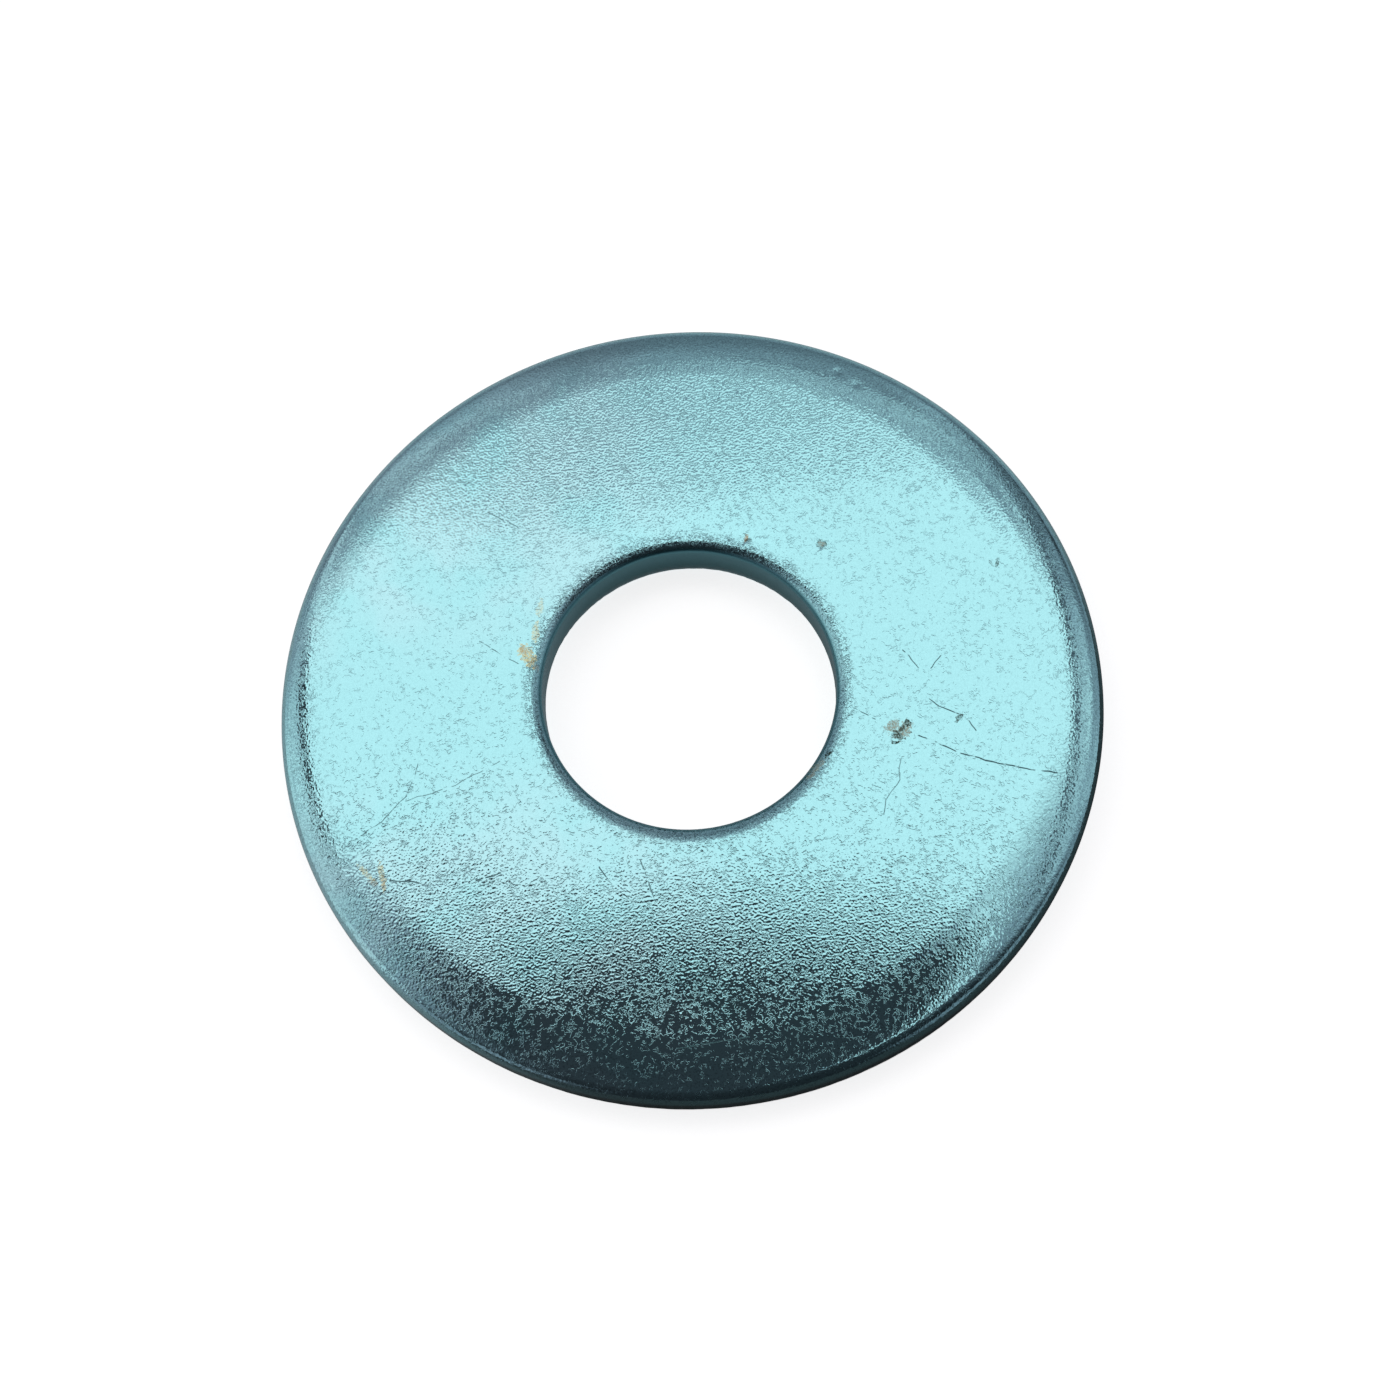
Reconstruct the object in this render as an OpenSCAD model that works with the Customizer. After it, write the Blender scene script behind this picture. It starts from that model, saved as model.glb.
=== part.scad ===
// Fender washer: a broad, thick steel disc with a small hole, blanked and pierced in one
// stroke of the press. The press leaves the same bands on both sheared walls. From the top
// down they are a rolled edge, a smooth burnished land, and a torn band that draws back.
// The outer roll and the hole's roll are on the upper side, because both cuts were made
// from there. The origin is the middle of the underside, and the hole runs along +Z.

/* [Washer] */
// Diameter over the outer burnished land
outer_d = 56; // [48:1:80]
// Diameter of the hole at its burnished land
hole_d = 20; // [10:0.5:28]
// Thickness between the two seats
thickness = 4; // [3.5:0.1:6]

/* [Rolled outer edge] */
// Width of the band that the cut drew down round the rim
outer_roll_w = 4.5; // [3:0.1:6]
// Drop from the upper seat to the outer land
outer_roll_d = 1.5; // [1.3:0.05:1.8]
// Radius of the lip where the outer roll turns into its land
outer_lip_r = 1.1; // [0.6:0.05:1.2]

/* [Rolled hole edge] */
// Width of the band that the punch drew down round the hole
hole_roll_w = 1.2; // [1.1:0.05:1.8]
// Drop from the upper seat to the hole's land
hole_roll_d = 0.8; // [0.65:0.05:1]
// Radius of the lip where the hole's roll turns into its land
hole_lip_r = 0.55; // [0.3:0.05:0.6]

/* [Torn lower bands] */
// Height of the torn band on the rim
outer_tear_h = 1.2; // [0.6:0.1:1.5]
// Height of the torn band in the hole
hole_tear_h = 1; // [0.6:0.1:1.5]
// How far each torn band has drawn back from its land at the underside
tear_back = 0.2; // [0.05:0.05:0.3]
// Radius that tumbling left on both lower edges
lower_edge_r = 0.25; // [0.1:0.05:0.4]

/* [Hidden] */
$fn = 240;
outer_r = outer_d / 2;
hole_r = hole_d / 2;
// Height above the upper seat to which the clipping shapes reach
clip_over = 1;

// Section through a band of the sheet that ends in a sheared wall on x = 0. The metal is
// on the -x side and reaches back past anything it has to cover.
// Two arcs make the roll. The long one leaves the upper seat level, and the short lip
// takes over where both have the same slope and ends upright on the land.
module sheared_band(roll_w, roll_d, lip_r, tear_h) {
    reach = outer_r;
    land_top = thickness - roll_d;
    clip_top = thickness + clip_over;
    tear_end = -tear_back;
    lip_centre = [-lip_r, land_top];
    // Radius of the long arc that is level at the seat and touches the lip's arc
    sweep_r = ((roll_w - lip_r) ^ 2 + roll_d ^ 2 - lip_r ^ 2) / (2 * (roll_d - lip_r));
    // Slope at which the long arc hands over to the lip
    meet_angle = asin((roll_w - lip_r) / (sweep_r - lip_r));

    // Seats, land and torn band
    polygon([
        [-reach, 0],
        [tear_end - lower_edge_r, 0],
        [tear_end - lower_edge_r, lower_edge_r],
        [tear_end, lower_edge_r],
        [0, tear_h],
        [0, land_top],
        [-roll_w, land_top],
        [-roll_w, thickness],
        [-reach, thickness]
    ]);
    // Long arc, cut off along the line through the lip's centre where the arcs touch
    intersection() {
        translate([-roll_w, thickness - sweep_r]) circle(sweep_r);
        polygon([
            [-roll_w, tear_h],
            [-lip_r, tear_h],
            lip_centre,
            lip_centre + (clip_top - land_top) * [tan(meet_angle), 1],
            [-roll_w, clip_top]
        ]);
    }
    // Lip
    translate(lip_centre) circle(lip_r);
    // Lower edge, rounded in the tumbler
    translate([tear_end - lower_edge_r, lower_edge_r]) circle(lower_edge_r);
}

// Half of the washer cut through its axis, with the radius along x and the height along y
module section() {
    intersection() {
        translate([outer_r, 0])
            sheared_band(outer_roll_w, outer_roll_d, outer_lip_r, outer_tear_h);
        translate([hole_r, 0]) mirror([1, 0])
            sheared_band(hole_roll_w, hole_roll_d, hole_lip_r, hole_tear_h);
    }
}

module washer() {
    color([0.56, 0.78, 0.82])
        rotate_extrude() section();
}

washer();
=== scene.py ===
# %% [markdown]
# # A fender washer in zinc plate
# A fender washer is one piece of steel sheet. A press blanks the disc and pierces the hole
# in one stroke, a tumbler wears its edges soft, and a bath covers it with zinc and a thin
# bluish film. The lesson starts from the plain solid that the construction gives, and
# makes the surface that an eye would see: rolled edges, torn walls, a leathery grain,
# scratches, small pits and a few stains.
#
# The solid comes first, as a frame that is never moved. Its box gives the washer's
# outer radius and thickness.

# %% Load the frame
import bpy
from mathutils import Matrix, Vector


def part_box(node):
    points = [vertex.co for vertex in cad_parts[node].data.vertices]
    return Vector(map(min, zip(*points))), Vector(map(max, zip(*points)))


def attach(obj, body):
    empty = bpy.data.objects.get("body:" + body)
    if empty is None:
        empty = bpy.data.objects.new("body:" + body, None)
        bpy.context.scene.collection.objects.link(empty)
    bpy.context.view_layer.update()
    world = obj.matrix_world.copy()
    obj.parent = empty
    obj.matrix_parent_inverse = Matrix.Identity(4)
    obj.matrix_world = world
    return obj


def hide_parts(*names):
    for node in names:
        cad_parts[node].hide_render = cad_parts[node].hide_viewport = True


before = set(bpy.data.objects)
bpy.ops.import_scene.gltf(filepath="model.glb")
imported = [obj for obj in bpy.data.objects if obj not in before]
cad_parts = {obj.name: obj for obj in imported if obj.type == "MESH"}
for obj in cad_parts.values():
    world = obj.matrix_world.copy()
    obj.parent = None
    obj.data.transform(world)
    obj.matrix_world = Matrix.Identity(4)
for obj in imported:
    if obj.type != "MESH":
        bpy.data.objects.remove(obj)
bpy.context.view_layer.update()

# %% Other modules
import math

import bmesh
import bpy
from mathutils import Matrix, Vector, noise

print("Blender", bpy.app.version_string)

# %% [markdown]
# ## Units
# Blender works in metres here. A washer is easier to talk about in millimetres, so every
# size below is written in millimetres and multiplied by MM where it goes into Blender.
# The outer radius and the thickness come from the solid itself.

# %% Units and the washer's own sizes
MM = 0.001
_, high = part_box("washer")
outer_r = high.x / MM
thickness = high.z / MM
print(f"outer radius {outer_r:.2f} mm, thickness {thickness:.2f} mm")

# %% [markdown]
# ## Camera
# A close-up is taken from near by, so the far rim looks smaller than the near one. That
# depth comes only from the camera's distance, not from its lens, so the distance and the
# height angle are set first. The lens then fixes how much of the picture the washer
# fills. The camera could be aimed with a Track To constraint, but a matrix built from its
# three own axes also holds the small roll that the photograph has.

# %% Camera
CAMERA_DISTANCE = 132.6
CAMERA_ELEVATION = math.radians(69.71)
CAMERA_ROLL = math.radians(-6.78)
AIM = Vector((0.655, 0.238, 0.0))
LENS = 49.06
SENSOR = 36.0


def close_camera():
    """A camera on the -Y side that looks down on the washer, rolled by a few degrees."""
    place = Vector((0, -math.cos(CAMERA_ELEVATION), math.sin(CAMERA_ELEVATION))) * CAMERA_DISTANCE
    ahead = (AIM - place).normalized()
    right = ahead.cross(Vector((0, 0, 1))).normalized()
    up = right.cross(ahead)
    side = right * math.cos(CAMERA_ROLL) + up * math.sin(CAMERA_ROLL)
    top = up * math.cos(CAMERA_ROLL) - right * math.sin(CAMERA_ROLL)
    data = bpy.data.cameras.new("camera")
    data.lens = LENS
    data.sensor_width = SENSOR
    data.clip_start = 1 * MM
    camera = bpy.data.objects.new("camera", data)
    bpy.context.collection.objects.link(camera)
    turn = Matrix((side, top, -ahead)).transposed()
    camera.matrix_world = Matrix.Translation(place * MM) @ turn.to_4x4()
    return camera


bpy.context.scene.camera = close_camera()
bpy.context.scene.view_settings.view_transform = "Standard"
print("camera at", tuple(round(v, 1) for v in bpy.context.scene.camera.location / MM), "mm")

# %% [markdown]
# ## A short way to write shader maths
# Each sum in a shader is a Math node with two links. Long sums are hard to read as nodes,
# so one small class wraps an output socket and lets Python's own signs add the nodes:
# `1 - mask * 0.5` makes two Math nodes. Every other node comes from one method, which
# sets the node's own settings before it fills the sockets. `math` and `vector` call that
# method for the two kinds of sum that come up most. A trial tree, which is removed again,
# shows what such a line makes.

# %% Wires
class Wire:
    """One output socket of a shader tree. Arithmetic on it adds Math nodes."""

    def __init__(self, tree, socket):
        self.tree = tree
        self.socket = socket

    def node(self, kind, settings=None, out=0, **inputs):
        """Another node in the same tree."""
        return add_node(self.tree, kind, settings, out, **inputs)

    def out(self, name):
        """Another output of the node that this one comes from."""
        return Wire(self.tree, self.socket.node.outputs[name])

    def math(self, operation, *others):
        """A Math node on this value and up to two more."""
        values = {str(i): value for i, value in enumerate((self, *others))}
        return self.node("Math", {"operation": operation}, **values)

    def vector(self, operation, *others, out=0):
        """A Vector Math node on this vector and up to two more."""
        values = {str(i): value for i, value in enumerate((self, *others))}
        return self.node("VectorMath", {"operation": operation}, out, **values)

    def __add__(self, other):
        return self.math("ADD", other)

    def __sub__(self, other):
        return self.math("SUBTRACT", other)

    def __rsub__(self, other):
        return self.node("Math", {"operation": "SUBTRACT"}, **{"0": other, "1": self})

    def __mul__(self, other):
        return self.math("MULTIPLY", other)

    __radd__ = __add__
    __rmul__ = __mul__


print("a wire can", [name for name in vars(Wire) if not name.startswith("_")])


# %% Nodes and ramps
def add_node(tree, kind, settings=None, out=0, **inputs):
    """Adds a node: its settings first, then its sockets' values or links."""
    made = tree.nodes.new("ShaderNode" + kind)
    for name, value in (settings or {}).items():
        if name == "stops":
            fill_ramp(made.color_ramp, value)
        else:
            setattr(made, name, value)
    for name, value in inputs.items():
        socket = made.inputs[int(name) if name.isdigit() else name.replace("_", " ")]
        if isinstance(value, Wire):
            tree.links.new(value.socket, socket)
        else:
            socket.default_value = value
    return Wire(tree, made.outputs[out]) if made.outputs else None


def fill_ramp(ramp, stops):
    """Gives a colour ramp these (position, grey level) stops."""
    while len(ramp.elements) < len(stops):
        ramp.elements.new(1.0)
    for element, (position, level) in zip(ramp.elements, stops):
        element.position = position
        element.color = (level, level, level, 1)


def fresh_tree(owner):
    """The empty shader tree of a material or a world."""
    owner.use_nodes = True
    owner.node_tree.nodes.clear()
    return owner.node_tree


trial = bpy.data.node_groups.new("trial", "ShaderNodeTree")
dimmed = 1 - add_node(trial, "Value") * 0.5
print("a value and two signs make", [node.bl_label for node in trial.nodes])

# %% [markdown]
# Three small sums come back again and again: a soft step between two values, a mix of two
# numbers, and a mix of two colours. A Math node would turn a colour grey, so colours go
# through a Mix node, whose colour sockets are the seventh and the eighth.

# %% Soft steps and mixes
MIX_FIRST = 6
MIX_SECOND = 7
MIX_RESULT = 2


def fade(value, start, end):
    """A soft step: 0 where the value is start, 1 where it is end."""
    soft = {"interpolation_type": "SMOOTHSTEP"}
    return value.node("MapRange", soft, Value=value, From_Min=start, From_Max=end)


def mix(share, first, second):
    """The first value where the share is 0 and the second where it is 1."""
    return first + (second - first) * share


def blend_colour(share, first, second):
    """A mix of two colours."""
    colours = {str(MIX_FIRST): first, str(MIX_SECOND): second}
    return share.node("Mix", {"data_type": "RGBA"}, MIX_RESULT, Factor=share, **colours)


blend_colour(fade(dimmed, 0.2, 0.4), (0, 0, 0, 1), (1, 1, 1, 1))
print("a soft step and a mix of colours add", [node.bl_label for node in trial.nodes][-2:])
bpy.data.node_groups.remove(trial)

# %% [markdown]
# ## The light round the washer
# Polished metal has almost no colour of its own: it shows what stands round it. This
# washer lay under one broad soft light beyond its far edge, with the dark of the room over
# its near half. That is why the far two thirds shine and the near third is nearly
# black. Lamps and cards could be placed for this, but they would stand in other views,
# so the world itself is painted by direction.
#
# A direction is named by how far it leans: `lean_x` to the right and `lean_y` towards the
# washer's far edge, each from -1 to 1. Straight up is (0, 0), and the horizon is the circle
# of radius 1. Three ramps over lean_y give the middle, where the light panel is, and the
# weaker light on its left and on its right. The far right is weaker still.

# %% Light from near to far
MIDDLE_RAMP = (
    (-1.00, 0.02), (-0.80, 0.024), (-0.50, 0.034), (-0.30, 0.06), (-0.15, 0.20), (0.00, 0.43),
    (0.10, 0.55), (0.17, 0.75), (0.24, 1.06), (0.43, 1.05), (0.465, 0.76), (0.50, 0.55),
    (0.54, 0.50), (0.62, 0.46), (0.68, 0.40), (0.73, 0.31), (0.80, 0.20), (0.90, 0.18),
    (1.00, 0.22),
)
LEFT_RAMP = (
    (-1.00, 0.03), (-0.60, 0.04), (-0.50, 0.06), (-0.40, 0.10), (-0.30, 0.15), (-0.20, 0.22),
    (-0.10, 0.34), (0.00, 0.54), (0.07, 0.70), (0.20, 0.77), (0.30, 0.78), (0.38, 0.63),
    (0.44, 0.48), (0.50, 0.40), (0.60, 0.36), (0.70, 0.21), (1.00, 0.18),
)
RIGHT_RAMP = (
    (-1.00, 0.01), (-0.60, 0.02), (-0.45, 0.04), (-0.30, 0.10), (-0.18, 0.26), (-0.08, 0.46),
    (0.05, 0.54), (0.20, 0.66), (0.30, 0.62), (0.40, 0.36), (0.50, 0.18), (0.60, 0.13),
    (0.80, 0.19), (1.00, 0.24),
)
LEFT_EDGE = (-0.48, -0.52)
RIGHT_EDGE = (0.42, 0.50)
FAR_RIGHT = (0.58, 0.68)
FAR_RIGHT_FOOT = (0.0, 0.2)
FAR_RIGHT_SHARE = 0.5


def ramp_over(lean, stops):
    """A grey ramp along a lean from -1 to 1."""
    places = [((position + 1) / 2, level) for position, level in stops]
    return lean.node("ValToRGB", {"stops": places}, Fac=lean * 0.5 + 0.5)


def panel_level(lean_x, lean_y, past_panel):
    """The light panel in the middle, and the weaker light on its left and right."""
    level = ramp_over(past_panel, MIDDLE_RAMP)
    level = mix(fade(lean_x, *LEFT_EDGE), level, ramp_over(lean_y, LEFT_RAMP))
    level = mix(fade(lean_x, *RIGHT_EDGE), level, ramp_over(lean_y, RIGHT_RAMP))
    far_right = fade(lean_x, *FAR_RIGHT) * fade(lean_y, *FAR_RIGHT_FOOT)
    return level * (1 - far_right * (1 - FAR_RIGHT_SHARE))


print("ramp stops", [len(ramp) for ramp in (MIDDLE_RAMP, LEFT_RAMP, RIGHT_RAMP)])

# %% [markdown]
# A thin dark frame bounds the panel on the left and on the right. Each is given by its
# middle, its half width, the lean_y of its foot and the share of light that it lets
# through. They show as thin dark lines along the washer's left and right rolls.
#
# The room beyond the panel and beside it is mottled, as any real room is, so that the
# rolls that mirror it are not one even grey. Furniture could be modelled for this, but a
# roll mirrors it so small that a noise does as well.

# %% Frames and room
FRAMES = ((-0.50, 0.028, 0.16, 0.05), (0.475, 0.026, -0.06, 0.2))
FRAME_CORE = 0.6
FRAME_FADE = 0.04
FRAME_HEAD = (0.52, 0.42)
ROOM_SCALE = (11.0, 26.0, 11.0)
ROOM_STEP = (0.42, 0.58)
ROOM_DEPTH = 0.4
ROOM_BEYOND = (0.42, 0.47)
ROOM_BESIDE = (0.50, 0.56)
ROOM_BESIDE_SHARE = 0.6
ROOM_END = (0.80, 0.66)
ROOM_ABOVE = (0.1, 0.5)


def behind_frames(lean_x, lean_y, level):
    """Darkens the light where one of the two frames stands before it."""
    for middle, half_width, foot, share in FRAMES:
        off = (lean_x - middle).math("ABSOLUTE")
        above_foot = fade(lean_y, foot - FRAME_FADE, foot + FRAME_FADE)
        in_frame = fade(off, half_width, half_width * FRAME_CORE) * above_foot
        in_frame = in_frame * fade(lean_y, *FRAME_HEAD)
        level = level * (1 - in_frame * (1 - share))
    return level


def room_mottle(way, leans, past_panel):
    """How much brighter or darker the room is from place to place, as a share."""
    room = way.node("Mapping", Vector=way, Scale=ROOM_SCALE)
    room = room.node("TexNoise", Vector=room, Scale=1.0, Detail=1.0)
    mottle = (0.5 - fade(room, *ROOM_STEP)) * ROOM_DEPTH * 2
    beside = fade(leans.out("X").math("ABSOLUTE"), *ROOM_BESIDE) * ROOM_BESIDE_SHARE
    mottle = mottle * fade(past_panel, *ROOM_BEYOND).math("MAXIMUM", beside)
    mottle = mottle * fade(leans.out("Y"), *ROOM_END)
    return mottle * fade(leans.out("Z"), *ROOM_ABOVE)


print(len(FRAMES), "frames beside the panel")

# %% [markdown]
# A dark oval hangs straight overhead. Its edge is sharp, and soft only on the far left.
# It is what the near part of the washer mirrors. A black card could hang there, but it
# would hide the washer from above. A gleam runs along the oval's right edge, a second one
# lies far out on the left, and each draws a pale band along the near roll. Low above the
# horizon comes a weak light. The photograph's angle hardly shows it, but it lights the
# seat when the washer is seen from its side.

# %% Overhead and low light
OVAL_CENTRE = (-0.05, -0.125, 0.0)
OVAL_SIZE = (0.41, 0.365, 1.0)
OVAL_EDGE = 0.02
OVAL_LEFT = (-0.10, -0.36)
OVAL_SOFT_LEFT = 0.25
OVAL_LEVEL = 0.042
GLEAM = (0.86, 0.92)
GLEAM_END = (1.08, 0.99)
GLEAM_SIDE = (0.10, 0.25)
GLEAM_LEVEL = 0.95
LEFT_GLEAM = (-0.62, -0.85)
LEFT_GLEAM_LOW = (-0.42, -0.30)
LEFT_GLEAM_HIGH = (0.10, -0.05)
LEFT_GLEAM_LEVEL = 0.72
LOW_LIGHT = (0.42, 0.28)
LOW_LIGHT_SIDE = (-0.92, -0.70)
LOW_LIGHT_LEVEL = 0.28


def overhead(way, leans, level):
    """Puts the oval, the two gleams and the low light over the panel's light."""
    lean_x = leans.out("X")
    lean_y = leans.out("Y")
    far_left = fade(lean_x, *LEFT_GLEAM) * fade(lean_y, *LEFT_GLEAM_LOW)
    far_left = far_left * fade(lean_y, *LEFT_GLEAM_HIGH)
    level = level.math("MAXIMUM", far_left * LEFT_GLEAM_LEVEL)
    from_oval = way.vector("SUBTRACT", OVAL_CENTRE).vector("DIVIDE", OVAL_SIZE)
    off = from_oval.vector("MULTIPLY", (1, 1, 0)).vector("LENGTH", out="Value")
    edge = OVAL_EDGE + fade(lean_x, *OVAL_LEFT) * OVAL_SOFT_LEFT
    above = mix(fade(off, 1 - edge, 1 + edge), OVAL_LEVEL, level)
    beside = fade(off, *GLEAM) * fade(off, *GLEAM_END) * fade(lean_x, *GLEAM_SIDE)
    above = above.math("MAXIMUM", beside * GLEAM_LEVEL)
    low_light = fade(leans.out("Z"), *LOW_LIGHT) * fade(lean_y, *LOW_LIGHT_SIDE)
    return above.math("MAXIMUM", low_light * LOW_LIGHT_LEVEL)


print("the oval is", OVAL_LEVEL, "of full white")

# %% [markdown]
# The world puts these together. Its dark parts are slightly blue and its bright parts
# neutral. Light Path tells the camera's own rays from the rest, and they see plain white,
# which is the background.

# %% World
PANEL_STEP = (-0.06, -0.22)
PANEL_TOP = (0.28, 0.40)
PANEL_RISE = 0.07
HORIZON = (-0.02, 0.0)
BELOW_LEVEL = 0.5
COOL = (1.00, 0.97, 1.12, 1)
WARM = (1.00, 1.00, 0.99, 1)
COOL_TO_WARM = (0.1, 0.9)


def studio_level(tree):
    """How bright the surroundings are in each direction."""
    way = add_node(tree, "TexCoord", out="Generated")
    leans = way.node("SeparateXYZ", Vector=way)
    lean_x = leans.out("X")
    lean_y = leans.out("Y")
    past_panel = lean_y - fade(lean_x, *PANEL_STEP) * fade(lean_y, *PANEL_TOP) * PANEL_RISE
    level = behind_frames(lean_x, lean_y, panel_level(lean_x, lean_y, past_panel))
    level = level * (1 + room_mottle(way, leans, past_panel))
    return mix(fade(leans.out("Z"), *HORIZON), BELOW_LEVEL, overhead(way, leans, level))


def studio_world():
    """A world whose reflection is the studio, and which the camera itself sees as white."""
    world = bpy.data.worlds.new("studio")
    tree = fresh_tree(world)
    seen = add_node(tree, "LightPath", out="Is Camera Ray")
    level = studio_level(tree)
    tint = blend_colour(fade(level, *COOL_TO_WARM), COOL, WARM)
    light = level.node("Background", Color=tint, Strength=level)
    white = level.node("Background", Color=(1, 1, 1, 1), Strength=1.0)
    both = level.node("MixShader", **{"0": seen, "1": light, "2": white})
    level.node("OutputWorld", Surface=both)
    bpy.context.scene.world = world
    return world


print("world", studio_world().name)

# %% [markdown]
# ## Floor
# The washer lies on a plain white floor. The studio above gives such a floor only a
# quarter of full white. More light could whiten it, but would fall on the washer too, so
# the rest is a glow of the floor's own. The two together just reach white, which leaves
# the soft shadow round the washer in place. Metal near the floor mirrors much less of
# that glow, and almost none on the near right, where the photographed rim is darkest:
# there the floor is painted nearly black in reflections, as painted shade.
#
# The floor lies a hair under the washer. It is clear from below, so that the underside
# can be looked at, and it is clear to a reflection that starts right above it, so that
# the underside has some light to mirror.

# %% Floor
FLOOR_HALF = 3000
FLOOR_GAP = 0.02
FLOOR_COLOUR = (0.85, 0.85, 0.85, 1)
FLOOR_GLOW = 0.80
GLOW_IN_METAL = 0.10
DARK_WAY = (-0.5, 0.86, 0)
DARK_SIDE = (0.006, -0.022)
DARK_SHARE = 0.88
TOUCHING = 0.1


def floor_front(path, in_metal):
    """White with a glow for the eye, and painted shade on the near right in reflections."""
    to_eye = path.math("MAXIMUM", path.out("Is Transmission Ray"))
    glow = to_eye * FLOOR_GLOW + in_metal * GLOW_IN_METAL
    paint = path.node("BsdfDiffuse", Color=FLOOR_COLOUR)
    lit = path.node("Emission", Color=(1, 1, 1, 1), Strength=glow)
    front = path.node("AddShader", **{"0": paint, "1": lit})
    # Painted shade: in reflections the floor goes nearly black on the near right.
    place = path.node("TexCoord", out="Object")
    towards = place.vector("DOT_PRODUCT", DARK_WAY, out="Value")
    dark = fade(towards, *DARK_SIDE) * in_metal * DARK_SHARE
    black = path.node("Emission", Color=(0, 0, 0, 1), Strength=0.0)
    return path.node("MixShader", **{"0": dark, "1": front, "2": black})


def floor_material():
    """The floor's two sides: a lit front, and nothing at all from below."""
    material = bpy.data.materials.new("floor")
    path = add_node(fresh_tree(material), "LightPath", out="Is Camera Ray")
    in_metal = path.out("Is Glossy Ray")
    front = floor_front(path, in_metal)
    clear = path.node("BsdfTransparent")
    touching = path.out("Ray Length").math("LESS_THAN", TOUCHING * MM) * in_metal
    back = path.node("NewGeometry", out="Backfacing").math("MAXIMUM", touching)
    path.node("OutputMaterial", Surface=path.node("MixShader", **{"0": back, "1": front, "2": clear}))
    return material


def make_floor():
    """A wide flat square."""
    shape = bmesh.new()
    lowered = Matrix.Translation((0, 0, -FLOOR_GAP * MM))
    bmesh.ops.create_grid(shape, x_segments=1, y_segments=1, size=FLOOR_HALF * MM, matrix=lowered)
    mesh = bpy.data.meshes.new("floor")
    shape.to_mesh(mesh)
    shape.free()
    floor = bpy.data.objects.new("floor", mesh)
    mesh.materials.append(floor_material())
    bpy.context.collection.objects.link(floor)
    return floor


floor = make_floor()
print("floor", tuple(round(v, 1) for v in floor.dimensions), "m")

# %% [markdown]
# ## The washer's section
# A sheared edge always has the same bands. From the top down they are a roll that the die
# drew down, a straight burnished land, and a torn band that leans back. The roll is two
# arcs: a long one that leaves the flat seat level, and a short lip that ends upright. The
# lip's slope and the long arc's slope agree where they meet. The sizes repeat those of
# the solid's construction.

# %% Sizes of the section
hole_r = 10.0
OUTER_ROLL_W = 4.5
OUTER_ROLL_D = 1.5
OUTER_LIP_R = 1.1
HOLE_ROLL_W = 1.2
HOLE_ROLL_D = 0.8
HOLE_LIP_R = 0.55
OUTER_TEAR_H = 1.2
HOLE_TEAR_H = 1.0
TEAR_BACK = 0.2
LOWER_EDGE_R = 0.25


def sweep_radius(roll_w, roll_d, lip_r):
    """Radius of the long arc that is level at the seat and touches the lip."""
    return ((roll_w - lip_r) ** 2 + roll_d ** 2 - lip_r ** 2) / (2 * (roll_d - lip_r))


outer_sweep_r = sweep_radius(OUTER_ROLL_W, OUTER_ROLL_D, OUTER_LIP_R)
hole_sweep_r = sweep_radius(HOLE_ROLL_W, HOLE_ROLL_D, HOLE_LIP_R)
outer_meet = math.asin((OUTER_ROLL_W - OUTER_LIP_R) / (outer_sweep_r - OUTER_LIP_R))
hole_meet = math.asin((HOLE_ROLL_W - HOLE_LIP_R) / (hole_sweep_r - HOLE_LIP_R))
print(f"long arcs {outer_sweep_r:.2f} and {hole_sweep_r:.2f} mm")

# %% [markdown]
# The section could be typed as a list of points, but it is drawn the way a draughtsman
# would: a pen starts as one vertex, and each stretch is a spin of that vertex, with an
# angle for an arc or with a step for a straight line. Each stretch gets as many steps as
# its detail needs, because the relief is pushed into these points later.

# %% Draw the section
SEAT_STEPS = 74
OUTER_SWEEP_STEPS = 21
OUTER_LIP_STEPS = 10
WALL_STEPS = 5
HOLE_TORN_STEPS = 4
LOWER_EDGE_STEPS = 3
UNDERSIDE_STEPS = 8
HOLE_LIP_STEPS = 5
HOLE_SWEEP_STEPS = 9
SECTION_MERGE = 0.001
QUARTER = math.pi / 2


class Pen:
    """Draws the section in the XZ plane, in millimetres, from one vertex."""

    def __init__(self, shape, x, z):
        self.shape = shape
        self.tip = shape.verts.new((x, 0, z))

    def run(self, steps, **motion):
        """Copies the tip along a motion and joins the copies with edges."""
        made = bmesh.ops.spin(self.shape, geom=[self.tip], steps=steps, **motion)
        self.tip = next(v for v in made["geom_last"] if isinstance(v, bmesh.types.BMVert))

    def line(self, x, z, steps):
        """A straight stretch to (x, z)."""
        stride = (Vector((x, 0, z)) - self.tip.co) / steps
        self.run(steps, cent=(0, 0, 0), axis=(0, 1, 0), dvec=stride, angle=0.0)

    def arc(self, x, z, turn, steps):
        """An arc about (x, z). A positive turn goes from +Z towards +X."""
        self.run(steps, cent=(x, 0, z), axis=(0, 1, 0), angle=turn)


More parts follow.
